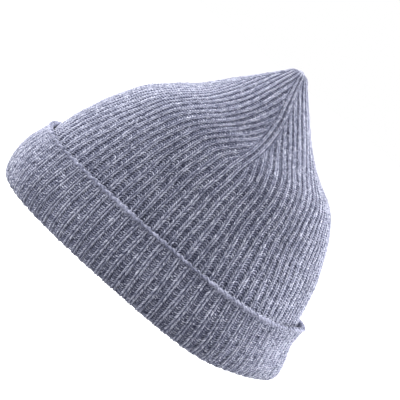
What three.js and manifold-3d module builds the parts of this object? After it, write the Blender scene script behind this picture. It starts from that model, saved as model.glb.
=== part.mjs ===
// A rib-knit beanie with a turned-up cuff, in millimetres.
//
// The origin is the centre of the head opening, on the plane of the folded edge. +Z runs up through the tip of the
// crown, -X is the front of the hat and +Y is the wearer's right. The hat is longer from front to back than it is
// wide, so every ring is first turned as a circle of the right length and then narrowed from side to side.
//
// The cuff, its fold and its chain of bound-off stitches move down together when the cuff is turned down. The care
// label turns like a page about the edge that the back seam holds.

import * as THREE from 'three';
import { mergeVertices } from 'three/addons/utils/BufferGeometryUtils.js';
import Module from 'manifold-3d';

const wasm = await Module();
wasm.setup();

// Driving dimensions
const FOLD_LENGTH = 216; // front to back, outside the folded edge
const FOLD_WIDTH = 172; // side to side, outside the folded edge
const CROWN_TOP = 164.8; // height of the cloth at the tip of the crown
const LAYER = 3; // thickness of one layer of rib knit
const CUFF_LAYER = 3.3; // the cuff's rib is less stretched, so it is a little thicker
const CUFF_TOP = 39.2; // height at which the cuff's knitting ends and its chain begins
const CUFF_FLARE = 4; // how much wider the cuff is at its fold than at its top, on each side
const FOLD_HEIGHT = 6; // height of the roll where the cloth turns up
const DART_START = 98; // height at which the darts of the crown begin
const ROUND_FROM = 150; // height above which the crown is as wide as it is long
const GAP = 0.3; // clearance between neighbouring pieces
const CUFF_CLEARANCE = 1.3; // between the tube and the cuff, so that the cuff can travel
const TIP_HOLE_RADIUS = 2.6; // what the gathering thread leaves open at the tip
const THREAD_RADIUS = 0.7;
const THREAD_OFF_CLOTH = 0.6; // the faceted cloth comes this close to a smooth thread
const CHAIN_WIDTH = 3.4;
const CHAIN_HEIGHT = 2.8;
const LABEL_LENGTH = 25; // from the seam to the label's free edge
const LABEL_HEIGHT = 30;
const LABEL_BOTTOM = 10;
const LABEL_THICKNESS = 0.6;
const LABEL_OFF_WALL = 1.1;
const LABEL_OFF_SEAM = 1.5;
const AROUND = 56; // facets round the hat
const OUTLINE_STEPS = 6; // straight pieces in each curve of the crown's outline

// Radii are half-lengths, measured along X
const foldOuter = FOLD_LENGTH / 2;
const cuffOuter = foldOuter - CUFF_FLARE;
const cuffInner = cuffOuter - CUFF_LAYER;
const tubeOuter = cuffInner - CUFF_CLEARANCE;
const tubeInner = tubeOuter - LAYER;
const brimSideLoss = (FOLD_LENGTH - FOLD_WIDTH) / 2;

const knitColour = new THREE.Color(0x787b8e);
const cuffColour = new THREE.Color(0x7b7e92);
const threadColour = new THREE.Color(0x686b80);
const labelColour = new THREE.Color(0xe4e2da);

const at = (radius, height) => new THREE.Vector2(radius, height);

// How much less the hat measures from the axis to its side than from the axis to its front, at a height
function sideLoss(height) {
  return brimSideLoss * (1 - THREE.MathUtils.smoothstep(height, CUFF_TOP, ROUND_FROM));
}

// The outside of the crown, from the cuff's edge up to the tip: a dome, a straight-sided cone and a small round end
function crownOutline(steps) {
  const shoulder = at(55.5, 115);
  const neck = at(8.6, 160.8);
  const path = new THREE.CurvePath();
  path.add(new THREE.CubicBezierCurve(at(tubeOuter, CUFF_TOP), at(92, 72), at(75, 103.5), shoulder));
  path.add(new THREE.CubicBezierCurve(shoulder, at(42.5, 122.5), at(18, 150.5), neck));
  path.add(new THREE.QuadraticBezierCurve(neck, at(6, 164.5), at(TIP_HOLE_RADIUS, CROWN_TOP)));
  const points = path.getPoints(steps);
  return points.filter((point, i) => i === 0 || point.distanceTo(points[i - 1]) > 0.01);
}

// An outline moved inwards by a distance, square to itself
function inset(outline, distance) {
  return outline.map((point, i) => {
    const before = outline[Math.max(i - 1, 0)];
    const after = outline[Math.min(i + 1, outline.length - 1)];
    const along = after.clone().sub(before).normalize();
    const radius = Math.max(point.x - along.y * distance, TIP_HOLE_RADIUS);
    return at(radius, point.y + along.x * distance);
  });
}

// Squeezes a turned ring from side to side, keeping its wall as thick as it was
function narrow(geometry) {
  const position = geometry.attributes.position;
  for (let i = 0; i < position.count; i += 1) {
    const radius = Math.hypot(position.getX(i), position.getY(i));
    const share = radius > 0 ? 1 - sideLoss(position.getZ(i)) / radius : 1;
    position.setY(i, position.getY(i) * share);
  }
  geometry.computeVertexNormals();
  return geometry;
}

// A ring turned about Z from a closed profile of radius and height, which runs anticlockwise
function turned(profile) {
  const geometry = new THREE.LatheGeometry([...profile, profile[0]], AROUND);
  return geometry.rotateX(Math.PI / 2);
}

function toSolid(geometry) {
  const bare = geometry.clone();
  bare.deleteAttribute('normal');
  bare.deleteAttribute('uv');
  const welded = mergeVertices(bare, 1e-4);
  return new wasm.Manifold(new wasm.Mesh({
    numProp: 3,
    vertProperties: Float32Array.from(welded.attributes.position.array),
    triVerts: Uint32Array.from(welded.index.array),
  }));
}

function fromSolid(solid) {
  const mesh = solid.getMesh();
  const geometry = new THREE.BufferGeometry();
  geometry.setAttribute('position', new THREE.BufferAttribute(mesh.vertProperties, 3));
  geometry.setIndex(new THREE.BufferAttribute(mesh.triVerts, 1));
  geometry.computeVertexNormals();
  return geometry;
}

// A box that spans two corners, for cutting
function boxBetween(low, high) {
  const size = high.clone().sub(low);
  const centre = low.clone().add(high).multiplyScalar(0.5);
  const geometry = new THREE.BoxGeometry(size.x, size.y, size.z);
  return toSolid(geometry.translate(centre.x, centre.y, centre.z));
}

// A point of the hat at an angle round it, where angle 0 is the back and a quarter turn is the wearer's right
function onHat(point, angle) {
  const across = point.x - sideLoss(point.y) * Math.abs(Math.sin(angle));
  return new THREE.Vector3(across * Math.cos(angle), across * Math.sin(angle), point.y);
}

function threadAlong(points, steps) {
  const section = new THREE.Shape().absarc(0, 0, THREAD_RADIUS, 0, 2 * Math.PI);
  return new THREE.ExtrudeGeometry(section, {
    extrudePath: new THREE.CatmullRomCurve3(points, false, 'catmullrom', 0.3),
    steps,
    curveSegments: 3,
    bevelEnabled: false,
  });
}

const outline = crownOutline(OUTLINE_STEPS);
const hat = new THREE.Group();

function addPiece(name, geometry, colour, roughness = 0.95) {
  const material = new THREE.MeshStandardMaterial({ color: colour, roughness, metalness: 0 });
  const piece = new THREE.Mesh(geometry, material);
  piece.name = name;
  hat.add(piece);
  return piece;
}

// The cloth of the tube and the crown is one shell, open at the head and at the tip
function clothShell() {
  const outside = [at(tubeOuter, FOLD_HEIGHT + GAP), ...outline];
  const inside = [at(tubeInner, FOLD_HEIGHT + GAP), ...inset(outline, LAYER)];
  return toSolid(narrow(turned([...outside, ...inside.reverse()])));
}

// Below the darts the shell is the tube that grips the head
function addKnitBody(cloth) {
  const low = new THREE.Vector3(-foldOuter, -foldOuter, 0);
  const high = new THREE.Vector3(foldOuter, foldOuter, DART_START - GAP / 2);
  addPiece('knit_body', fromSolid(cloth.intersect(boxBetween(low, high))), knitColour);
}

// Above it the shell is four gores, parted by the darts at the front, the back and the sides
function addGores(cloth) {
  const quarters = [
    ['crown_gore_front_left', -1, -1],
    ['crown_gore_back_left', 1, -1],
    ['crown_gore_back_right', 1, 1],
    ['crown_gore_front_right', -1, 1],
  ];
  for (const [name, sideX, sideY] of quarters) {
    const near = new THREE.Vector3(sideX * GAP / 2, sideY * GAP / 2, DART_START + GAP / 2);
    const far = new THREE.Vector3(sideX * foldOuter, sideY * foldOuter, CROWN_TOP + 1);
    const low = near.clone().min(far);
    const high = near.clone().max(far);
    addPiece(name, fromSolid(cloth.intersect(boxBetween(low, high))), knitColour);
  }
}

// One thread closes each dart, just inside the cloth, and one more closes the back of the tube
function addSeamThreads() {
  const line = inset(crownOutline(4 * OUTLINE_STEPS), LAYER + THREAD_OFF_CLOTH + THREAD_RADIUS);
  const dartLine = line.filter((point) => point.y > DART_START + 1 && point.x > 4 * THREAD_RADIUS + 1);
  const darts = { back: 0, right: 1, front: 2, left: 3 };
  for (const [side, turn] of Object.entries(darts)) {
    const points = dartLine.map((point) => onHat(point, turn * Math.PI / 2));
    addPiece(`dart_thread_${side}`, threadAlong(points, 14), threadColour);
  }
  const tubeLine = line.filter((point) => point.y < DART_START - 2);
  const start = at(tubeInner - THREAD_OFF_CLOTH - THREAD_RADIUS, FOLD_HEIGHT + 2);
  const points = [start, ...tubeLine].map((point) => onHat(point, 0));
  addPiece('back_seam_thread', threadAlong(points, 12), threadColour);
}

// The stitches drawn together at the tip stand in the hole that they leave
function addTipThread() {
  const radius = TIP_HOLE_RADIUS - GAP - 0.1;
  const path = new THREE.Path();
  path.moveTo(0, CROWN_TOP - 5);
  path.lineTo(radius, CROWN_TOP - 5);
  path.lineTo(radius, CROWN_TOP - 0.2);
  path.quadraticCurveTo(radius, CROWN_TOP + 1, 0, CROWN_TOP + 1);
  const geometry = new THREE.LatheGeometry(path.getPoints(4), 16);
  addPiece('tip_thread', geometry.rotateX(Math.PI / 2), threadColour);
}

// The cuff is the turned-up layer, and stands clear of the tube all the way down
function addCuff() {
  const flare = new THREE.LineCurve(at(foldOuter, FOLD_HEIGHT + GAP), at(cuffOuter, CUFF_TOP));
  const outside = flare.getPoints(2);
  const inside = outside.map((point) => at(point.x - CUFF_LAYER, point.y));
  addPiece('cuff', narrow(turned([...outside, ...inside.reverse()])), cuffColour);
}

// The fold rests on a flat ring, and its sides round up into the tube and the cuff
function addFold() {
  const path = new THREE.Path();
  const flatFrom = tubeInner + 3.5;
  const flatTo = foldOuter - 3.5;
  path.moveTo(tubeInner, FOLD_HEIGHT);
  path.quadraticCurveTo(tubeInner, 0, flatFrom, 0);
  path.lineTo(flatTo, 0);
  path.quadraticCurveTo(foldOuter, 0, foldOuter, FOLD_HEIGHT);
  addPiece('cuff_fold', narrow(turned(path.getPoints(3))), cuffColour);
}

function addChain() {
  const centreRadius = cuffInner + CHAIN_WIDTH / 2 + 0.1;
  const centreHeight = CUFF_TOP + GAP + CHAIN_HEIGHT / 2;
  const section = new THREE.EllipseCurve(centreRadius, centreHeight, CHAIN_WIDTH / 2, CHAIN_HEIGHT / 2);
  const points = section.getPoints(8).slice(0, -1);
  addPiece('cuff_edge_chain', narrow(turned(points)), cuffColour);
}

// A ribbon that follows the inside of the tube, from the back seam towards the wearer's left
function addCareLabel() {
  const outerRadius = tubeInner - LABEL_OFF_WALL;
  const outerWidth = outerRadius - brimSideLoss;
  const innerRadius = outerRadius - LABEL_THICKNESS;
  const innerWidth = outerWidth - LABEL_THICKNESS;
  const held = -Math.asin(LABEL_OFF_SEAM / outerWidth);
  const free = -Math.asin((LABEL_OFF_SEAM + LABEL_LENGTH) / outerWidth);
  const plan = new THREE.Shape();
  plan.absellipse(0, 0, outerRadius, outerWidth, free, held, false);
  plan.absellipse(0, 0, innerRadius, innerWidth, held, free, true);
  const geometry = new THREE.ExtrudeGeometry(plan, {
    depth: LABEL_HEIGHT,
    curveSegments: 8,
    bevelEnabled: false,
  });
  const label = addPiece('care_label', geometry, labelColour, 0.6);
  label.position.z = LABEL_BOTTOM;
}

const cloth = clothShell();
addKnitBody(cloth);
addGores(cloth);
addSeamThreads();
addTipThread();
addCuff();
addFold();
addChain();
addCareLabel();

export default hat;
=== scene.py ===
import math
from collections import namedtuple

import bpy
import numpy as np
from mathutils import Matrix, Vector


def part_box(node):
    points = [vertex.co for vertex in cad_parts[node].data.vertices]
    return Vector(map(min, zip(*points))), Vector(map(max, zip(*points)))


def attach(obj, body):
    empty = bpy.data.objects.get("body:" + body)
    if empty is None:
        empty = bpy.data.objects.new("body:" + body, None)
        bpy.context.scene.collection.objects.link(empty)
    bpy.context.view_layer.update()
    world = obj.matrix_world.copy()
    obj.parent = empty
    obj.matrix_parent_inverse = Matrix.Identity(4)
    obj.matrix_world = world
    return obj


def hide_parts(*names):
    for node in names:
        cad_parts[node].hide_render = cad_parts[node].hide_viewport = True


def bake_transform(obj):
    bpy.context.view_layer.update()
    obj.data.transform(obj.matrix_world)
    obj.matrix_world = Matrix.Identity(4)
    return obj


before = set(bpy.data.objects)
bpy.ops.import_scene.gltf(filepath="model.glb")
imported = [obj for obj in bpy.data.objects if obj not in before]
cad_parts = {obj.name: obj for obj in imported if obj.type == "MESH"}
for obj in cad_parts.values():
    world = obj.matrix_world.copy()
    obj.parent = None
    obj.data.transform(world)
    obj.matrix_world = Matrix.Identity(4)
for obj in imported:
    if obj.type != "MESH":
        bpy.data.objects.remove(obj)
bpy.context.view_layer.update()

# The looks of a rib-knit beanie. Every stitch of its outside is part of the mesh. A piece is a grid laid on a
# smooth shape with the CAD's sizes: its columns run up the ribs and its rows run round the hat, and stitches
# raise or sink its points. Lengths are in millimetres until a mesh is made, and in metres for the lights,
# the floor and the camera. Angles round the hat start at its back (+X) and go by its right (+Y), its front
# (-X) and its left (-Y).

MM = 0.001


def box_mm(node):
    low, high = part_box(node)
    return np.array(low) / MM, np.array(high) / MM


# Sizes from the frame. A radius is a half-length, measured along X.
_, tube_high = box_mm("knit_body")
_, cuff_high = box_mm("cuff")
_, fold_high = box_mm("cuff_fold")
_, chain_high = box_mm("cuff_edge_chain")
_, gore_high = box_mm("crown_gore_back_right")
dart_low, dart_high = box_mm("dart_thread_back")
seam_low, seam_high = box_mm("back_seam_thread")
label_low, label_high = box_mm("care_label")
TUBE_RADIUS = tube_high[0]
SIDE_LOSS = tube_high[0] - tube_high[1]  # how much less the hat measures from its axis to its side
DART_START = tube_high[2]  # the darts start where the tube ends
CROWN_TOP = gore_high[2]
CUFF_TOP = cuff_high[2]
FOLD_RADIUS = cuff_high[0]
FOLD_TOP = fold_high[2]
CHAIN_RADIUS = chain_high[0]
CHAIN_WIDTH = 3.6
ROUND_FROM = 150.0  # above this height the crown is as wide as it is long
TIP_RADIUS = 2.6  # the hole that the tip's thread closes
LAYER = 3.0  # thickness of one layer of knit
RELIEF_ROOM = 0.3  # the crown's smooth shape lies this far in, to leave room for its stitches
UPPER_SHARE = 0.85  # how much of the brim's fullness its upper edge takes
CUFF_SOFTNESS = 0.6  # how much of the cloth's softness the cuff takes

# The knit is a one-and-one rib: a wale that stands out, then a wale that lies back.
RIBS = 92
GORES = 4
COLUMNS_PER_RIB = 16
ROWS_PER_COURSE = 4
COURSE = 1.6
CUFF_COURSE = 1.33
COLUMNS = RIBS * COLUMNS_PER_RIB
GORE_COLUMNS = COLUMNS // GORES
GORE_RIBS = RIBS / GORES
SPINE = 1.0  # ribs on each side of a dart that run on to the tip
OWN = GORE_RIBS / 2 - SPINE  # ribs from a gore's middle to its spine, before the decreases
OWN_AT_TIP = 0.9
FULL_PITCH = 5.4  # width of a rib at which its relief has its full depth

TURN = 2 * math.pi


def smoothstep(low, high, x):
    t = np.clip((np.asarray(x, float) - low) / (high - low), 0.0, 1.0)
    return t * t * (3.0 - 2.0 * t)


def bell(x, centre, width):
    return np.exp(-(((np.asarray(x, float) - centre) / width) ** 2))


def swell(turn, centre, width):
    """A bump round the hat, with its centre and width in degrees."""
    away = np.mod(turn - math.radians(centre) + math.pi, TURN) - math.pi
    return np.exp(-((away / math.radians(width)) ** 2))


def unit(vectors):
    return vectors / np.maximum(np.linalg.norm(vectors, axis=-1, keepdims=True), 1e-12)


# ---------------------------------------------------------------- outlines

def bezier(points, count):
    """Points along a Bezier curve with any number of control points."""
    t = np.linspace(0.0, 1.0, count)[:, None]
    rows = [np.broadcast_to(np.array(p, float), (count, 2)) for p in points]
    while len(rows) > 1:
        rows = [a * (1 - t) + b * t for a, b in zip(rows, rows[1:])]
    return rows[0]


def arc_lengths(points):
    steps = np.linalg.norm(np.diff(points, axis=0), axis=1)
    return np.concatenate([[0.0], np.cumsum(steps)])


class Outline:
    """A curve of radius and height, read by the distance along it."""

    def __init__(self, *curves):
        points = [curves[0]] + [c[1:] for c in curves[1:]]
        self.points = np.vstack(points)
        self.along = arc_lengths(self.points)
        self.length = self.along[-1]
        self.first = (self.points[1] - self.points[0]) / self.along[1]
        self.last = (self.points[-1] - self.points[-2]) / (self.along[-1] - self.along[-2])

    def at(self, s):
        over = np.maximum(np.asarray(s, float) - self.length, 0.0)
        under = np.minimum(np.asarray(s, float), 0.0)
        radius = np.interp(s, self.along, self.points[:, 0])
        height = np.interp(s, self.along, self.points[:, 1])
        radius = radius + over * self.last[0] + under * self.first[0]
        height = height + over * self.last[1] + under * self.first[1]
        return radius, height

    def where_height(self, height):
        return float(np.interp(height, self.points[:, 1], self.along))


def crown_outline():
    """The crown's outside from the bottom of the tube to the tip, with the CAD's own proportions."""
    rise = CROWN_TOP - CUFF_TOP

    def place(radius_share, height_share):
        return TUBE_RADIUS * radius_share, CUFF_TOP + rise * height_share

    shoulder = place(0.558, 0.6035)
    neck = place(0.0865, 0.968)
    tube = bezier([(TUBE_RADIUS, FOLD_TOP), (TUBE_RADIUS, CUFF_TOP)], 40)
    dome = bezier([place(1, 0), place(0.9256, 0.261), place(0.7545, 0.512), shoulder], 400)
    cone = bezier([shoulder, place(0.4276, 0.663), place(0.181, 0.886), neck], 400)
    end = bezier([neck, place(0.0625, 0.9976), (TIP_RADIUS, CROWN_TOP)], 60)
    return Outline(tube, dome, cone, end)


def cuff_outline():
    """The turned-up layer's outside, from its free edge down, round the fold and up to the tube."""
    edge = (CHAIN_RADIUS - 0.6, CUFF_TOP + 1.2)
    low = (FOLD_RADIUS, FOLD_TOP + 3)
    inner = TUBE_RADIUS - LAYER
    wall = bezier([edge, (FOLD_RADIUS - 2.0, CUFF_TOP - 9), (FOLD_RADIUS + 1.2, CUFF_TOP - 22), low], 300)
    under = (FOLD_RADIUS - 5.0, 0.2)
    outer_turn = bezier([low, (FOLD_RADIUS - 0.4, 2.4), (FOLD_RADIUS - 2.0, 0.2), under], 120)
    inner_turn = bezier([under, (inner + 2.2, 0.2), (inner + 0.2, 2.0), (inner, FOLD_TOP)], 120)
    return Outline(wall, outer_turn, inner_turn)


CROWN = crown_outline()
CUFF = cuff_outline()
DART_AT = CROWN.where_height(DART_START)

# ---------------------------------------------------------------- smooth shapes


def side_loss(height):
    return SIDE_LOSS * (1.0 - smoothstep(CUFF_TOP, ROUND_FROM, height))


def even_turn():
    """A table from the share of the way round the brim to the ellipse's own angle."""
    angle = np.linspace(0.0, TURN, 2881)
    ring = np.stack([TUBE_RADIUS * np.cos(angle), (TUBE_RADIUS - SIDE_LOSS) * np.sin(angle)], axis=1)
    along = arc_lengths(ring)
    return along / along[-1] * TURN, angle


EVEN, ANGLE = even_turn()


def ring_angle(turn, height):
    """Ribs stand at even distances round the brim, and at even angles round the top of the crown."""
    whole = np.floor(turn / TURN) * TURN
    even = np.interp(turn - whole, EVEN, ANGLE) + whole
    return turn + (even - turn) * side_loss(height) / SIDE_LOSS


def softness(turn, height):
    """How far soft cloth strays from its even shape."""
    slow = np.sin(2 * turn + 0.7 + height * 0.021) * 0.6
    mid = np.sin(5 * turn - 1.1 - height * 0.043) * 0.35
    fine = np.sin(9 * turn + 2.3 + height * 0.090) * 0.20
    return slow + mid + fine


def brim_shape(turn):
    """The hat isn't a true oval: it is fuller at its left back and left front."""
    fuller = 7.5 * swell(turn, 305, 25) + 5.0 * swell(turn, 212, 20)
    return fuller - 3.5 * swell(turn, 343, 13)


def brim_sag(turn, high):
    """The brim hangs low at its left back. Its fold comes up again behind that, and its free edge dips at the
    right back."""
    fold = 2.4 * swell(turn, 324, 15)
    edge = -3.0 * swell(turn, 28, 20)
    return -1.3 * swell(turn, 303, 32) + (1 - high) * fold + high * edge


def lean(height):
    """The brim and the dome of the crown sit a little to the back, and the tip comes forward again."""
    dome = 6.0 * bell(height, 103, 27) * smoothstep(CUFF_TOP, CUFF_TOP + 24, height)
    return dome + 0.8 * smoothstep(120, 150, height) + 1.9 * (1 - smoothstep(62, 84, height))


def twist(height):
    """The darts wind a little round the crown as they rise."""
    return math.radians(15.0) * smoothstep(97, 140, height)


def crown_fullness(turn, height):
    """The crown is flatter over its darts, and fuller at the front and back of its shoulder."""
    lobes = -1.2 * np.cos(4 * turn) * bell(height, 112, 20)
    front = 2.8 * bell(height, 97, 9) * swell(turn, 180, 45)
    back = 2.2 * bell(height, 111, 10) * swell(turn, 0, 45)
    return lobes + front + back


def crown_point(turn, s):
    """A point on the crown's smooth shape, at an angle round it and a distance up it."""
    radius, height = CROWN.at(s)
    loss = side_loss(height)
    low = 1 - smoothstep(CUFF_TOP, CUFF_TOP + 48, height)
    angle = ring_angle(turn, height) + twist(height)
    free = smoothstep(CUFF_TOP, CUFF_TOP + 35, height) * smoothstep(0, 30, radius)
    stray = free * (softness(turn, height) + crown_fullness(turn, height))
    reach = radius - RELIEF_ROOM + stray + UPPER_SHARE * low * brim_shape(turn)
    x = reach * np.cos(angle) + lean(height)
    y = (reach - loss) * np.sin(angle)
    z = height + low * brim_sag(turn, 1.0)
    return np.stack([x, y, z + 0 * x], axis=-1)


def cuff_fullness(turn, height):
    """The cuff bellies out at the front. At the back it is hollow above, and its heel stands out."""
    belly = 1.2 * bell(height, 22, 14) * swell(turn, 180, 50)
    hollow = -1.8 * bell(height, 28, 9) * swell(turn, 0, 30)
    heel = 2.4 * bell(height, 6, 9) * swell(turn, 0, 32)
    return belly + hollow + heel


def cuff_point(turn, s):
    """A point on the cuff's smooth shape, at an angle round it and a distance down it."""
    radius, height = CUFF.at(s)
    angle = ring_angle(turn, CUFF_TOP + 0 * turn)
    high = smoothstep(8, CUFF_TOP, height)
    edge = bell(height, CUFF_TOP + 1, 7) * edge_shape(turn)
    brim = brim_shape(turn) * (1 - (1 - UPPER_SHARE) * high)
    reach = radius + CUFF_SOFTNESS * softness(turn, height) + brim + cuff_fullness(turn, height) + edge
    x = reach * np.cos(angle) + lean(0.0)
    y = (reach - SIDE_LOSS) * np.sin(angle)
    z = height + brim_sag(turn, high)
    return np.stack([x, y, z + 0 * x], axis=-1)


def edge_shape(turn):
    """The cuff's free edge stands off the crown at the back, and lies close to it elsewhere."""
    return 1.4 * swell(turn, 352, 20) - 2.2 * swell(turn, 26, 22) - 1.6 * swell(turn, 160, 34)


def facing(point, turn, s, side):
    """The smooth shape's normal, pointing out."""
    step_turn, step_s = 0.004, 0.4
    across = point(turn + step_turn, s) - point(turn - step_turn, s)
    along = point(turn, s + step_s) - point(turn, s - step_s)
    return unit(np.cross(across, along)) * side


# ---------------------------------------------------------------- relief of the knit

# The cross-section of a rib and the relief of its stitches, with depths in millimetres. The valley between
# two ribs sinks from crest to foot, which are shares of a rib's width from its middle. The groove runs
# between a rib's two legs, the rungs cross the valley, and the holes lie beside them.
Rib = namedtuple("Rib", "valley crest foot groove leg rung hole")
CROWN_RIB = Rib(valley=0.72, crest=0.15, foot=0.36, groove=0.65, leg=0.55, rung=0.70, hole=0.95)
CUFF_RIB = Rib(valley=0.66, crest=0.15, foot=0.33, groove=0.85, leg=0.45, rung=0.70, hole=0.95)
LEG_FOOT = 0.03
LEG_REACH = 0.22  # how far across the rib a leg goes while the knitting rises by one course
RUNG_LAG = 0.18  # share of a course that the rungs lie above the legs' feet
MEAN_YARN = 0.55  # the yarn's mean height, taken off so that stitches rise and sink about the smooth shape


class Accidents:
    """Small differences between stitches, kept by course and by quarter of a rib."""

    def __init__(self, courses, seed):
        source = np.random.default_rng(seed)
        shape = (courses + 4, 4 * RIBS)
        self.size = source.normal(0, 1, shape)
        self.tone = source.normal(0, 1, shape)

    def at(self, values, course, quarter):
        return values[np.clip(course, 0, values.shape[0] - 1), np.mod(quarter, 4 * RIBS)]


CROWN_ACCIDENTS = Accidents(140, 3)
CUFF_ACCIDENTS = Accidents(80, 5)


def stitch_relief(rib, across, rise, accidents, narrow=0.0):
    """Height, painted shade and tone of the yarn, at a place across the ribs and a number of courses up.

    The painted shade is a lightness: lighter on the yarn, darker in its holes and valleys. Where ribs are
    narrow their two legs close up, and the gaps between ribs sink and are also painted as dark lines of
    shade."""
    signed = across - np.round(across)
    away = np.abs(signed)
    climb = (away - LEG_FOOT) / LEG_REACH
    on_leg = away < 0.26
    course = np.where(on_leg, np.floor(rise - climb + 0.5), np.floor(rise - RUNG_LAG + 0.5)).astype(int)
    quarter = np.floor(4 * (across + 1e-6)).astype(int)
    size = 1 + 0.25 * np.clip(accidents.at(accidents.size, course, quarter), -2, 2)
    tone = accidents.at(accidents.tone, course, quarter)
    leg = np.abs(np.cos(math.pi * (rise - climb))) ** 1.3
    leg_height = rib.leg * (leg * size - MEAN_YARN) - rib.groove * bell(away, 0, 0.055) * (1 - narrow)
    arc = RUNG_LAG + 0.25 * (away - 0.29) / 0.21
    rung = np.abs(np.cos(math.pi * (rise - arc))) ** 1.2
    rung_height = rib.rung * (rung * size - MEAN_YARN)
    off_rung = 0.5 - 0.5 * np.cos(TURN * (rise - RUNG_LAG))
    hole = bell(away, 0.30, 0.05) * off_rung ** 1.5
    in_valley = smoothstep(0.23, 0.32, away)
    detail = leg_height * (1 - in_valley) + rung_height * in_valley - rib.hole * hole
    valley = -rib.valley * smoothstep(rib.crest, rib.foot, away)
    between = off_rung ** 1.3
    gap = narrow * (smoothstep(0.28, 0.44, away) * (0.25 + 0.75 * between) + 0.35 * between)
    # Painted shade: lighter where the yarn stands up, darker in holes, valleys and the gaps of narrow ribs.
    lightness = np.clip(0.64 + 0.45 * detail + (0.30 - 0.18 * narrow) * valley - 0.42 * gap, 0, 1)
    return detail + (1 - 0.45 * narrow) * valley - 0.5 * gap, lightness, tone


# ---------------------------------------------------------------- meshes

def make_mesh(name, points, faces, normals, attributes, material):
    """A mesh from points in millimetres, arrays of triangles or larger faces, and a normal for each point."""
    faces = [f for f in faces if len(f)]
    corners = np.concatenate([f.ravel() for f in faces])
    sizes = np.concatenate([np.full(len(f), f.shape[1]) for f in faces])
    starts = np.concatenate([[0], np.cumsum(sizes)[:-1]]).astype(np.int32)
    used = np.unique(corners)
    renumber = np.full(len(points), -1)
    renumber[used] = np.arange(len(used))
    corners = renumber[corners].astype(np.int32)
    mesh = bpy.data.meshes.new(name)
    mesh.vertices.add(len(used))
    mesh.vertices.foreach_set("co", (points[used] * MM).astype(np.float32).ravel())
    mesh.loops.add(len(corners))
    mesh.loops.foreach_set("vertex_index", corners)
    mesh.polygons.add(len(starts))
    mesh.polygons.foreach_set("loop_start", starts)
    mesh.polygons.foreach_set("use_smooth", np.ones(len(starts), bool))
    for key, values in attributes.items():
        layer = mesh.attributes.new(key, "FLOAT", "POINT")
        layer.data.foreach_set("value", values[used].astype(np.float32))
    mesh.update(calc_edges=True)
    if normals is not None:
        mesh.normals_split_custom_set_from_vertices(normals[used].astype(float).tolist())
    mesh.materials.append(material)
    piece = bpy.data.objects.new(name, mesh)
    bpy.context.scene.collection.objects.link(piece)
    return piece


def grid_faces(index, closed, flip=False):
    """The quads of a grid of point numbers, with triangles where two of a quad's corners are one point."""
    right = np.roll(index, -1, axis=1) if closed else index[:, 1:]
    left = index if closed else index[:, :-1]
    quads = np.stack([left[:-1], right[:-1], right[1:], left[1:]], axis=-1).reshape(-1, 4)
    low_same = quads[:, 0] == quads[:, 1]
    high_same = quads[:, 2] == quads[:, 3]
    whole = quads[~low_same & ~high_same]
    from_low = quads[low_same & ~high_same][:, [0, 2, 3]]
    from_high = quads[high_same & ~low_same][:, [0, 1, 2]]
    order = -1 if flip else 1
    return [whole[:, ::order], from_low[:, ::order], from_high[:, ::order]]


def grid_normals(points, closed, side):
    """Normals of a grid of points from their neighbours, without the first and last rows."""
    if closed:
        across = np.roll(points, -1, axis=1) - np.roll(points, 1, axis=1)
    else:
        across = np.empty_like(points)
        across[:, 1:-1] = points[:, 2:] - points[:, :-2]
        across[:, 0] = points[:, 1] - points[:, 0]
        across[:, -1] = points[:, -1] - points[:, -2]
    along = points[2:] - points[:-2]
    return unit(np.cross(across[1:-1], along)) * side


# ---------------------------------------------------------------- the crown and its tube

def own_ribs(s):
    """Ribs from a gore's middle to its spine. They end at the spine, one after another."""
    share = np.clip((s - DART_AT) / (CROWN.length - DART_AT), 0.0, 1.03)
    gone = share * share / (share + 0.06) * 1.06
    return OWN + (OWN_AT_TIP - OWN) * gone * (1.1 - 0.1 * gone)


def spine_scale(s):
    return 1 - 0.16 * smoothstep(DART_AT, DART_AT + 18, s)


def in_gore(offset, s):
    """A column's place in its gore, as a share from -0.5 to 0.5, whether the column has ended, and how many
    ribs half the gore still has."""
    own = own_ribs(s)
    scale = spine_scale(s)
    away = np.abs(offset)
    held = (away > own + 1e-9) & (away < OWN - 1e-9)
    placed = np.where(away >= OWN - 1e-9, own + scale * (away - OWN), np.minimum(away, own))
    half = own + scale * SPINE
    return np.sign(offset) * placed / (2 * half), held, half


def wander(offset, s, half):
    """Ribs don't run dead straight."""
    sway = 0.10 * np.sin(0.9 * offset + s * 0.050) + 0.06 * np.sin(2.3 * offset - s * 0.11 + 1.0)
    return sway * smoothstep(0.5, 2.5, half - np.abs(offset)) / (2 * half)


def crown_columns(columns, number):
    """The gore of each column, and how many ribs it is from the gore's middle."""
    gore = columns // GORE_COLUMNS if number is None else np.full_like(columns, number)
    return gore, (columns - (gore + 0.5) * GORE_COLUMNS) / COLUMNS_PER_RIB


def rib_pitch(s, half):
    radius, height = CROWN.at(s)
    return TURN * np.maximum(radius - side_loss(height) / 2, 1.5) / (GORES * 2 * half)


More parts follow.
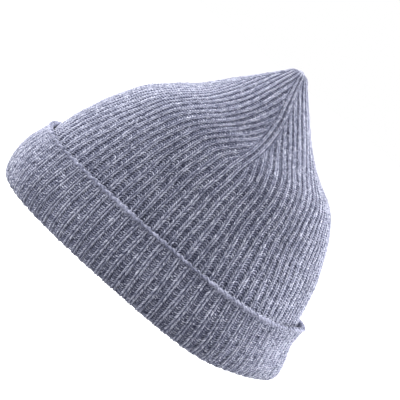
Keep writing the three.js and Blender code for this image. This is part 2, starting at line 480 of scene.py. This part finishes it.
def crown_outside(columns, rows, number, first_s, row_length, first_row):
    """Points, painted shade, tone and held columns of a stretch of the crown's outside."""
    column, row = np.meshgrid(columns, rows)
    gore, offset = crown_columns(column, number)
    s = first_s + (row - first_row) * row_length
    share, held, half = in_gore(offset, s)
    turn = (gore + 0.5 + share + wander(offset, s, half)) * (TURN / GORES)
    fabric = gore * GORE_RIBS + GORE_RIBS / 2 + 0.5 + offset
    pitch = rib_pitch(s, half)
    narrow = 1 - smoothstep(3.2, 5.2, pitch)
    height, painted_shade, tone = stitch_relief(CROWN_RIB, fabric, row / ROWS_PER_COURSE, CROWN_ACCIDENTS, narrow)
    own = own_ribs(s)
    ended = smoothstep(0.0, 0.3, OWN - own)
    beside = own - np.abs(offset)
    cut = np.where(beside >= 0, 1 - smoothstep(0.0, 0.35, beside), 0.0) * ended
    height = height * (1 - cut) - 0.6 * CROWN_RIB.valley * cut
    depth = np.clip(pitch / FULL_PITCH, 0.15, 1.05) ** 0.6
    base = crown_point(turn, s)
    normal = facing(crown_point, turn, s, 1.0)
    points = base + normal * (height * depth)[..., None]
    # Where ribs end at the spine, the painted shade goes to a darker middle value.
    return points, painted_shade * (1 - cut) + 0.45 * cut, tone, held


def crown_inside(columns, s_rows, number):
    """Points of the crown's inside, where the ribs that lie back outside stand out."""
    column, s = np.meshgrid(columns, s_rows)
    gore, offset = crown_columns(column, number)
    share, held, half = in_gore(offset, s)
    turn = (gore + 0.5 + share) * (TURN / GORES)
    radius, _ = CROWN.at(s)
    depth = np.clip(rib_pitch(s, half) / FULL_PITCH, 0.12, 1.0)
    ridge = smoothstep(0.15, 0.45, np.abs(offset - np.round(offset))) * depth
    thickness = np.minimum(LAYER * 0.9, np.maximum(radius * 0.25, 0.8))
    base = crown_point(turn, s)
    normal = facing(crown_point, turn, s, 1.0)
    # The inside's painted shade is lighter on the ribs that stand out and darker between them.
    return base - normal * (thickness + 0.6 * ridge)[..., None], 0.3 + 0.5 * ridge, held


def merge_held(index, held, offset):
    """Columns that have ended share the point of the spine's inner edge."""
    left = int(np.argmin(np.abs(offset + OWN)))
    right = int(np.argmin(np.abs(offset - OWN)))
    index = np.where(held & (offset < 0)[None, :], index[:, left][:, None], index)
    return np.where(held & (offset > 0)[None, :], index[:, right][:, None], index)


def edge_faces(outer, inner, left, step):
    """Faces that close a gore's side: each spans a whole step of the outer edge and one of the inner."""
    runs = [outer[k:-1:step] for k in range(step)] + [outer[step::step]]
    ring = [inner[:-1]] + runs + [inner[1:]]
    return np.stack(ring[::-1] if left else ring, axis=-1)


def crown_shell(name, columns, first_row, row_count, row_length, first_s, number, inner_step, material):
    """A closed shell: the whole tube if number is None, or one gore."""
    closed = number is None
    rows = np.arange(first_row - 1, first_row + row_count + 2)
    points, painted_shade, tone, held = crown_outside(columns, rows, number, first_s, row_length, first_row)
    normals = grid_normals(points, closed, 1.0)
    points, painted_shade, tone, held = points[1:-1], painted_shade[1:-1], tone[1:-1], held[1:-1]
    inner_rows = np.arange(0, row_count + 1, inner_step)
    if inner_rows[-1] != row_count:
        inner_rows = np.append(inner_rows, row_count)
    inner, inner_painted_shade, inner_held = crown_inside(columns, first_s + inner_rows * row_length, number)
    index = np.arange(points.shape[0] * points.shape[1]).reshape(points.shape[:2])
    inner_index = index.size + np.arange(inner.shape[0] * inner.shape[1]).reshape(inner.shape[:2])
    if not closed:
        _, offset = crown_columns(columns, number)
        index = merge_held(index, held, offset)
        inner_index = merge_held(inner_index, inner_held, offset)
    faces = grid_faces(index, closed) + grid_faces(inner_index, closed, flip=True)
    faces += grid_faces(np.stack([inner_index[0], index[0]]), closed)
    faces += grid_faces(np.stack([index[-1], inner_index[-1]]), closed)
    if not closed:
        faces.append(edge_faces(index[:, 0], inner_index[:, 0], True, inner_step))
        faces.append(edge_faces(index[:, -1], inner_index[:, -1], False, inner_step))
    all_points = np.vstack([points.reshape(-1, 3), inner.reshape(-1, 3)])
    all_normals = np.vstack([normals.reshape(-1, 3), np.zeros((inner_index.size, 3))])
    attributes = {
        "painted_shade": np.concatenate([painted_shade.ravel(), inner_painted_shade.ravel()]),
        "tone": np.concatenate([tone.ravel(), np.zeros(inner_index.size)]),
    }
    return make_mesh(name, all_points, faces, all_normals, attributes, material)


TUBE_ROWS = round(DART_AT / COURSE) * ROWS_PER_COURSE
GORE_ROWS = round((CROWN.length - DART_AT) / COURSE) * ROWS_PER_COURSE


def tube_piece(material):
    columns = np.arange(COLUMNS)
    length = DART_AT / TUBE_ROWS
    return crown_shell("tube_knit", columns, 0, TUBE_ROWS, length, 0.0, None, 2 * ROWS_PER_COURSE, material)


def gore_piece(name, number, material):
    columns = np.arange(number * GORE_COLUMNS, (number + 1) * GORE_COLUMNS + 1)
    length = (CROWN.length - DART_AT) / GORE_ROWS
    step = ROWS_PER_COURSE
    return crown_shell(name, columns, TUBE_ROWS, GORE_ROWS, length, DART_AT, number, step, material)


# ---------------------------------------------------------------- the cuff

CUFF_ROWS = round(CUFF.length / CUFF_COURSE) * ROWS_PER_COURSE
CUFF_ROW = CUFF.length / CUFF_ROWS
CUFF_WALL_ROWS = round(CUFF_ROWS * 0.56 / ROWS_PER_COURSE) * ROWS_PER_COURSE
CUFF_THICKNESS = 2.4


def cuff_grid():
    """Points, painted shade, tone and plain inside of the cuff, with a row to spare at both ends."""
    column, row = np.meshgrid(np.arange(COLUMNS), np.arange(-1, CUFF_ROWS + 2))
    across = column / COLUMNS_PER_RIB
    s = row * CUFF_ROW
    rise = np.maximum(row, 0) / ROWS_PER_COURSE
    height, painted_shade, tone = stitch_relief(CUFF_RIB, across, rise, CUFF_ACCIDENTS)
    bound = smoothstep(0.0, 3.0, s)
    height = height * (0.35 + 0.65 * bound) - 0.3 * (1 - bound)
    sway = 0.06 * np.sin(0.8 * across + s * 0.06) + 0.04 * np.sin(2.1 * across - s * 0.13)
    turn = (across + sway) / RIBS * TURN
    base = cuff_point(turn, s)
    normal = facing(cuff_point, turn, s, -1.0)
    points = base + normal * height[..., None]
    return points, painted_shade, tone, base - normal * CUFF_THICKNESS


def cuff_shell(name, part, grid, normals, material):
    """Some rows of the cuff's grid as a closed shell."""
    points, painted_shade, tone, inside = (values[1:-1][part] for values in grid)
    normals = normals[part]
    keep = np.unique(np.append(np.arange(0, len(inside), 2 * ROWS_PER_COURSE), len(inside) - 1))
    inner = inside[keep]
    index = np.arange(points.shape[0] * points.shape[1]).reshape(points.shape[:2])
    inner_index = index.size + np.arange(inner.shape[0] * inner.shape[1]).reshape(inner.shape[:2])
    faces = grid_faces(index, True, flip=True) + grid_faces(inner_index, True)
    faces += grid_faces(np.stack([index[0], inner_index[0]]), True)
    faces += grid_faces(np.stack([inner_index[-1], index[-1]]), True)
    all_points = np.vstack([points.reshape(-1, 3), inner.reshape(-1, 3)])
    all_normals = np.vstack([normals.reshape(-1, 3), np.zeros((inner_index.size, 3))])
    attributes = {
        "painted_shade": np.concatenate([painted_shade.ravel(), np.full(inner_index.size, 0.5)]),
        "tone": np.concatenate([tone.ravel(), np.zeros(inner_index.size)]),
    }
    return make_mesh(name, all_points, faces, all_normals, attributes, material)


def chain_piece(material):
    """The cuff's free edge: a chain of bound-off stitches, each link two legs that meet on the ridge."""
    around = 20
    links = 2 * RIBS
    link_columns = 8
    column, step = np.meshgrid(np.arange(links * link_columns), np.arange(around))
    turn = column / (links * link_columns) * TURN
    swing = step / around * TURN
    half_wide, half_high = 1.7, 1.35
    radius = CHAIN_RADIUS - CHAIN_WIDTH / 2 + np.cos(swing) * half_wide
    height = CUFF_TOP + 1.5 + np.sin(swing) * half_high
    across = np.abs(swing - 0.22 * TURN) / (0.25 * TURN)
    link = column / link_columns - 0.7 * across
    pulled = np.abs(np.cos(math.pi * link)) ** 1.2
    bulge = 0.60 * (pulled - 0.6) - 0.35 * bell(across, 0, 0.16)
    bulge = bulge + 0.25 * softness(3 * turn, 0)
    radius = radius + bulge * np.cos(swing)
    height = height + bulge * np.sin(swing) + 0.35 * np.cos(RIBS * turn)
    angle = ring_angle(turn, CUFF_TOP + 0 * turn)
    reach = radius + CUFF_SOFTNESS * softness(turn, height) + UPPER_SHARE * brim_shape(turn)
    reach = reach + edge_shape(turn)
    x = reach * np.cos(angle) + lean(0.0)
    y = (reach - SIDE_LOSS) * np.sin(angle)
    points = np.stack([x, y, height + brim_sag(turn, 1.0)], axis=-1)
    source = np.random.default_rng(8)
    tones = source.normal(0, 1, (2, links + 2))
    tone = tones[(across > 0).astype(int), np.floor(link + 1).astype(int) % links]
    index = np.arange(column.size).reshape(column.shape)
    ring = np.vstack([index, index[:1]])
    # Painted shade: the links are lighter where they bulge and darker between them.
    attributes = {"painted_shade": np.clip(0.75 + 0.5 * bulge, 0, 1).ravel(), "tone": tone.ravel()}
    faces = grid_faces(ring, True)
    return make_mesh("cuff_edge_links", points.reshape(-1, 3), faces, None, attributes, material)


# ---------------------------------------------------------------- threads and label

PLIES = 2
PLY_PITCH = 2.2  # distance along a yarn between one ply and the next
DART_THREAD_DEPTH = LAYER + 1.1  # from the crown's outside
SEAM_THREAD_DEPTH = LAYER + 1.2
DART_THREAD_RADIUS = 0.55
SEAM_THREAD_RADIUS = 0.6
TIP_THREAD_RADIUS = 0.75
TIP_WINDINGS = 3.2


def yarn(name, centres, radius, material):
    """A plied yarn along a line of points, with a blunt point at each end."""
    ahead = np.vstack([centres[1:], centres[-1:]])
    behind = np.vstack([centres[:1], centres[:-1]])
    tangent = unit(ahead - behind)
    out = unit(centres * [1, 1, 0] + [1e-6, 0, 0])
    side = unit(np.cross(tangent, out))
    out = np.cross(side, tangent)
    along = arc_lengths(centres)
    around = 12
    swing = np.arange(around) / around * TURN
    twisted = PLIES * (swing[None, :] - TURN * along[:, None] / (PLY_PITCH * PLIES))
    thick = radius * (0.79 + 0.28 * np.abs(np.cos(twisted / 2)))
    offsets = np.cos(swing)[None, :, None] * out[:, None] + np.sin(swing)[None, :, None] * side[:, None]
    points = centres[:, None] + offsets * thick[..., None]
    index = np.arange(points.shape[0] * around).reshape(-1, around)
    start = centres[:1] - tangent[:1] * radius * 0.6
    end = centres[-1:] + tangent[-1:] * radius * 0.6
    all_points = np.vstack([points.reshape(-1, 3), start, end])
    first, last = index.size, index.size + 1
    low_cap = np.stack([np.full(around, first), np.roll(index[0], -1), index[0]], axis=-1)
    high_cap = np.stack([np.full(around, last), index[-1], np.roll(index[-1], -1)], axis=-1)
    faces = grid_faces(index, True) + [low_cap, high_cap]
    count = len(all_points)
    attributes = {"painted_shade": np.full(count, 0.7), "tone": np.zeros(count)}
    return make_mesh(name, all_points, faces, None, attributes, material)


def inside_line(turn, low, high, depth, count):
    """Points up the inside of the crown, at one angle round it and between two heights."""
    s = np.linspace(CROWN.where_height(low), CROWN.where_height(high), count)
    turn = np.full(count, turn)
    return crown_point(turn, s) - facing(crown_point, turn, s, 1.0) * depth


def whip_stitches(name, turn, low, high, material):
    """A thread that closes a dart on the inside, crossing it from side to side."""
    stitch_length = 5.0
    half_width = 0.9
    line = inside_line(turn, low, high, DART_THREAD_DEPTH, 400)
    across = unit(np.cross(np.gradient(line, axis=0), line * [1, 1, 0]))
    swing = half_width * np.sin(arc_lengths(line) / stitch_length * TURN)
    return yarn(name, line + across * swing[:, None], DART_THREAD_RADIUS, material)


def tip_piece(material):
    """The gathered thread that draws the tip shut: a low spiral that ends at the middle."""
    share = np.linspace(0, 1, 260)
    angle = share * TIP_WINDINGS * TURN
    wave = 0.18 * np.sin(angle * 7) * (1 - share)
    radius = 2.8 * (1 - share) ** 0.8 + wave
    x = lean(CROWN_TOP) + radius * np.cos(angle)
    y = radius * np.sin(angle)
    z = CROWN_TOP - 1.2 + 1.5 * np.sin(share * math.pi / 2)
    return yarn("tip_gather", np.stack([x, y, z], axis=1), TIP_THREAD_RADIUS, material)


def label_piece(material):
    """A blank woven ribbon beside the back seam, gently bent and hemmed along its top and bottom."""
    wide, tall = 40, 44
    across = np.linspace(0, 1, wide)
    up = np.linspace(0, 1, tall)
    share, rise = np.meshgrid(across, up)
    height = label_low[2] + rise * (label_high[2] - label_low[2])
    length = label_high[1] - label_low[1]
    turn = -(1.6 + share * length) / (TUBE_RADIUS - SIDE_LOSS * 0.5)
    s = height - FOLD_TOP
    lift = 1.3 + 1.6 * share ** 2 + 0.35 * np.sin(share * 5 + rise * 2)
    base = crown_point(turn, s)
    normal = facing(crown_point, turn, s, 1.0)
    middle = base - normal * (LAYER + 0.4 + lift)[..., None]
    middle[..., 2] = height
    thick = 0.22 + 0.16 * smoothstep(0.93, 0.96, rise) + 0.16 * smoothstep(0.07, 0.04, rise)
    weave = 0.03 * np.sin(share * 120) * np.sin(rise * 140)
    front = middle - normal * (thick + weave)[..., None]
    back = middle + normal * (thick + weave)[..., None]
    count = front.shape[0] * front.shape[1]
    index = np.arange(count).reshape(front.shape[:2])
    other = index + count
    faces = grid_faces(index, False) + grid_faces(other, False, flip=True)
    faces += grid_faces(np.stack([other[0], index[0]]), False)
    faces += grid_faces(np.stack([index[-1], other[-1]]), False)
    faces += grid_faces(np.stack([index[:, 0], other[:, 0]]), False)
    faces += grid_faces(np.stack([other[:, -1], index[:, -1]]), False)
    points = np.vstack([front.reshape(-1, 3), back.reshape(-1, 3)])
    return make_mesh("blank_label", points, faces, None, {}, material)


# ---------------------------------------------------------------- materials

def node(tree, kind, **values):
    made = tree.nodes.new(kind)
    for key, value in values.items():
        if key in made.inputs:
            made.inputs[key].default_value = value
        else:
            setattr(made, key, value)
    return made


def scaled(tree, source, factor, offset=0.0):
    made = node(tree, "ShaderNodeMath", operation="MULTIPLY_ADD")
    tree.links.new(source, made.inputs[0])
    made.inputs[1].default_value = factor
    made.inputs[2].default_value = offset
    return made.outputs[0]


def added(tree, first, *others):
    total = first
    for other in others:
        made = node(tree, "ShaderNodeMath", operation="ADD")
        tree.links.new(total, made.inputs[0])
        tree.links.new(other, made.inputs[1])
        total = made.outputs[0]
    return total


def srgb(red, green, blue):
    """Linear colour from 0 to 255 values."""
    channels = [c / 255 for c in (red, green, blue)]
    linear = [c / 12.92 if c <= 0.04045 else ((c + 0.055) / 1.055) ** 2.4 for c in channels]
    return (*linear, 1.0)


def ramp_of(tree, source, *stops):
    ramp = node(tree, "ShaderNodeValToRGB")
    elements = ramp.color_ramp.elements
    elements[0].position, elements[0].color = stops[0]
    elements[1].position, elements[1].color = stops[-1]
    for position, colour in stops[1:-1]:
        elements.new(position).color = colour
    tree.links.new(source, ramp.inputs["Fac"])
    return ramp.outputs["Color"]


def heather(name, dark, middle, light):
    """Melange yarn: light and dark fibres, with painted shade that darkens the hollows of the knit, and a
    soft sheen.
    """
    material = bpy.data.materials.new(name)
    material.use_nodes = True
    tree = material.node_tree
    tree.nodes.clear()
    link = tree.links.new
    out = node(tree, "ShaderNodeOutputMaterial")
    cloth = node(tree, "ShaderNodeBsdfPrincipled", Roughness=0.9)
    cloth.inputs["Specular IOR Level"].default_value = 0.1
    cloth.inputs["Sheen Weight"].default_value = 0.75
    cloth.inputs["Sheen Roughness"].default_value = 0.35
    cloth.inputs["Sheen Tint"].default_value = (0.94, 0.95, 1.0, 1.0)
    where = node(tree, "ShaderNodeTexCoord")
    painted_shade = node(tree, "ShaderNodeAttribute", attribute_name="painted_shade").outputs["Fac"]
    tone = node(tree, "ShaderNodeAttribute", attribute_name="tone").outputs["Fac"]
    flecks = node(tree, "ShaderNodeTexNoise", Scale=1100.0, Detail=3.0, Roughness=0.75)
    fibres = node(tree, "ShaderNodeTexNoise", Scale=3000.0, Detail=2.0, Roughness=0.6)
    clouds = node(tree, "ShaderNodeTexNoise", Scale=45.0, Detail=2.0, Roughness=0.5)
    for texture in (flecks, fibres, clouds):
        link(where.outputs["Object"], texture.inputs["Vector"])
    # The attribute from the mesh puts painted shade into the colour: darker in the knit's hollows, lighter on
    # its yarn.
    value = added(
        tree,
        scaled(tree, tone, 0.10, 0.5),
        scaled(tree, flecks.outputs["Fac"], 1.7, -0.85),
        scaled(tree, clouds.outputs["Fac"], 0.16, -0.08),
        scaled(tree, painted_shade, 1.15, -0.60),
    )
    colour = ramp_of(tree, value, (0.0, dark), (0.5, middle), (1.0, light))
    link(colour, cloth.inputs["Base Color"])
    bump = node(tree, "ShaderNodeBump", Strength=0.55, Distance=0.0003)
    rough = added(tree, scaled(tree, flecks.outputs["Fac"], 0.6), scaled(tree, fibres.outputs["Fac"], 0.4))
    link(rough, bump.inputs["Height"])
    link(bump.outputs["Normal"], cloth.inputs["Normal"])
    link(cloth.outputs["BSDF"], out.inputs["Surface"])
    return material


def ribbon_material():
    """Blank off-white woven ribbon with a fine satin weave."""
    material = bpy.data.materials.new("label_ribbon")
    material.use_nodes = True
    tree = material.node_tree
    cloth = tree.nodes["Principled BSDF"]
    cloth.inputs["Roughness"].default_value = 0.45
    cloth.inputs["Sheen Weight"].default_value = 0.3
    where = node(tree, "ShaderNodeTexCoord")
    warp = node(tree, "ShaderNodeTexWave", Scale=900.0, Distortion=0.6, bands_direction="Z")
    fuzz = node(tree, "ShaderNodeTexNoise", Scale=1500.0, Detail=2.0)
    tree.links.new(where.outputs["Object"], warp.inputs["Vector"])
    tree.links.new(where.outputs["Object"], fuzz.inputs["Vector"])
    value = added(tree, scaled(tree, warp.outputs["Fac"], 0.6), scaled(tree, fuzz.outputs["Fac"], 0.4))
    colour = ramp_of(tree, value, (0.0, srgb(206, 203, 194)), (1.0, srgb(240, 238, 231)))
    tree.links.new(colour, cloth.inputs["Base Color"])
    bump = node(tree, "ShaderNodeBump", Strength=0.4, Distance=0.0001)
    tree.links.new(value, bump.inputs["Height"])
    tree.links.new(bump.outputs["Normal"], cloth.inputs["Normal"])
    return material


KNIT_COLOURS = (srgb(52, 55, 76), srgb(113, 116, 137), srgb(203, 205, 222))
crown_yarn = heather("crown_yarn", *KNIT_COLOURS)
cuff_yarn = heather("cuff_yarn", *KNIT_COLOURS)
# The edge's yarn gets darker colours than the knit's, though it is the same yarn: painted shade that offsets
# the light from above, which falls full on the chain.
edge_yarn = heather("edge_yarn", srgb(42, 45, 65), srgb(86, 89, 109), srgb(148, 150, 170))
sewing_yarn = heather("sewing_yarn", srgb(60, 63, 84), srgb(100, 103, 124), srgb(160, 163, 184))
ribbon = ribbon_material()

# ---------------------------------------------------------------- the hat


def settle(piece, slot, body, *nodes):
    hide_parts(*nodes)
    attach(piece, body)


tube = tube_piece(crown_yarn)
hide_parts("knit_body")
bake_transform(tube)

for number, corner in enumerate(("back_right", "front_right", "front_left", "back_left")):
    gore = gore_piece("gore_knit_" + corner, number, crown_yarn)
    settle(gore, "crown_knit", "hat", "crown_gore_" + corner)

grid = cuff_grid()
cuff_normals = grid_normals(grid[0], True, -1.0)
cuff = cuff_shell("cuff_knit", slice(0, CUFF_WALL_ROWS + 1), grid, cuff_normals, cuff_yarn)
fold = cuff_shell("cuff_fold_knit", slice(CUFF_WALL_ROWS, CUFF_ROWS + 1), grid, cuff_normals, cuff_yarn)
settle(cuff, "cuff_knit", "turned_cuff", "cuff")
settle(fold, "cuff_knit", "turned_cuff", "cuff_fold")
settle(chain_piece(edge_yarn), "edge_yarn", "turned_cuff", "cuff_edge_chain")

for number, side in enumerate(("back", "right", "front", "left")):
    turn = number * TURN / GORES
    stitches = whip_stitches("dart_stitches_" + side, turn, dart_low[2], dart_high[2], sewing_yarn)
    settle(stitches, "thread", "hat", "dart_thread_" + side)

seam_line = inside_line(0.0, seam_low[2], seam_high[2], SEAM_THREAD_DEPTH, 500)
seam = yarn("back_seam_stitches", seam_line, SEAM_THREAD_RADIUS, sewing_yarn)
settle(seam, "thread", "hat", "back_seam_thread")
settle(tip_piece(crown_yarn), "thread", "hat", "tip_thread")
settle(label_piece(ribbon), "label_ribbon", "label", "care_label")

# ---------------------------------------------------------------- stage, lights and camera


def look_at(thing, place, target):
    thing.location = place
    thing.rotation_mode = "QUATERNION"
    thing.rotation_quaternion = (Vector(target) - Vector(place)).to_track_quat("-Z", "Y")


def area_light(name, place, target, size, power):
    data = bpy.data.lights.new(name, "AREA")
    data.shape = "DISK"
    data.size = size
    data.energy = power
    lamp = bpy.data.objects.new(name, data)
    bpy.context.scene.collection.objects.link(lamp)
    look_at(lamp, place, target)
    return lamp


def white_world(strength):
    """White to the camera, and a dimmer even light to everything else."""
    world = bpy.data.worlds.new("studio")
    bpy.context.scene.world = world
    world.use_nodes = True
    tree = world.node_tree
    tree.nodes.clear()
    out = node(tree, "ShaderNodeOutputWorld")
    seen = node(tree, "ShaderNodeBackground", Color=(1, 1, 1, 1), Strength=1.0)
    glow = node(tree, "ShaderNodeBackground", Color=(0.95, 0.97, 1.0, 1), Strength=strength)
    path = node(tree, "ShaderNodeLightPath")
    mix = node(tree, "ShaderNodeMixShader")
    tree.links.new(path.outputs["Is Camera Ray"], mix.inputs[0])
    tree.links.new(glow.outputs[0], mix.inputs[1])
    tree.links.new(seen.outputs[0], mix.inputs[2])
    tree.links.new(mix.outputs[0], out.inputs["Surface"])


def floor_material():
    """An almost even white to a camera above it, clear to one below it, and matt grey to other light."""
    material = bpy.data.materials.new("floor")
    material.use_nodes = True
    tree = material.node_tree
    tree.nodes.clear()
    out = node(tree, "ShaderNodeOutputMaterial")
    matt = node(tree, "ShaderNodeBsdfDiffuse", Color=(0.45, 0.45, 0.45, 1))
    glow = node(tree, "ShaderNodeEmission")
    where = node(tree, "ShaderNodeTexCoord")
    reach = node(tree, "ShaderNodeVectorMath", operation="LENGTH")
    fade = node(tree, "ShaderNodeMapRange")
    tree.links.new(where.outputs["Object"], reach.inputs[0])
    tree.links.new(reach.outputs["Value"], fade.inputs["Value"])
    for key, value in (("From Min", 0.10), ("From Max", 0.45), ("To Min", 0.93), ("To Max", 1.0)):
        fade.inputs[key].default_value = value
    tree.links.new(fade.outputs["Result"], glow.inputs["Strength"])
    both = node(tree, "ShaderNodeAddShader")
    path = node(tree, "ShaderNodeLightPath")
    mix = node(tree, "ShaderNodeMixShader")
    tree.links.new(matt.outputs[0], both.inputs[0])
    tree.links.new(glow.outputs[0], both.inputs[1])
    tree.links.new(path.outputs["Is Camera Ray"], mix.inputs[0])
    tree.links.new(matt.outputs[0], mix.inputs[1])
    tree.links.new(both.outputs[0], mix.inputs[2])
    side = node(tree, "ShaderNodeNewGeometry")
    clear = node(tree, "ShaderNodeBsdfTransparent")
    one_sided = node(tree, "ShaderNodeMixShader")
    tree.links.new(side.outputs["Backfacing"], one_sided.inputs[0])
    tree.links.new(mix.outputs[0], one_sided.inputs[1])
    tree.links.new(clear.outputs[0], one_sided.inputs[2])
    tree.links.new(one_sided.outputs[0], out.inputs["Surface"])
    return material


def pale_floor(height):
    mesh = bpy.data.meshes.new("floor")
    half = 6.0
    corners = [(-half, -half, height), (half, -half, height), (half, half, height), (-half, half, height)]
    mesh.from_pydata(corners, [], [(0, 1, 2, 3)])
    floor = bpy.data.objects.new("floor", mesh)
    bpy.context.scene.collection.objects.link(floor)
    mesh.materials.append(floor_material())
    return floor


def tilted_camera():
    """At the hat's left side and a little above it, rolled so that the hat leans back to the right."""
    target = Vector((0.0022, 0.0, 0.062))
    distance = 0.9
    elevation = math.radians(8.0)
    roll = math.radians(39.4)
    back = Vector((0, -math.cos(elevation), math.sin(elevation)))
    right = Vector((1, 0, 0))
    up = back.cross(right)
    rolled_right = right * math.cos(roll) + up * math.sin(roll)
    rolled_up = up * math.cos(roll) - right * math.sin(roll)
    data = bpy.data.cameras.new("camera")
    data.lens = 127.6
    data.sensor_width = 36.0
    camera = bpy.data.objects.new("camera", data)
    bpy.context.scene.collection.objects.link(camera)
    turn = Matrix((rolled_right, rolled_up, back)).transposed().to_4x4()
    camera.matrix_world = Matrix.Translation(target + back * distance) @ turn
    bpy.context.scene.camera = camera


WORLD_LIGHT = 0.02
FLOOR_HEIGHT = -0.038  # low enough for the cuff to be turned down above it

white_world(WORLD_LIGHT)
pale_floor(FLOOR_HEIGHT)
middle = (0, 0, 0.08)
area_light("front", (-1.05, -0.25, 0.55), middle, 0.7, 15.5)
area_light("back", (0.95, 0.02, 0.45), middle, 0.7, 16)
area_light("behind_front", (-0.8, 0.6, 0.5), middle, 0.7, 22)
area_light("behind_back", (0.75, 0.7, 0.5), middle, 0.7, 19)
area_light("top", (0.05, -0.10, 1.2), middle, 0.8, 15)
area_light("fill", (0.1, -1.2, 0.3), middle, 0.7, 1.2)
tilted_camera()
bpy.context.scene.view_settings.view_transform = "Standard"
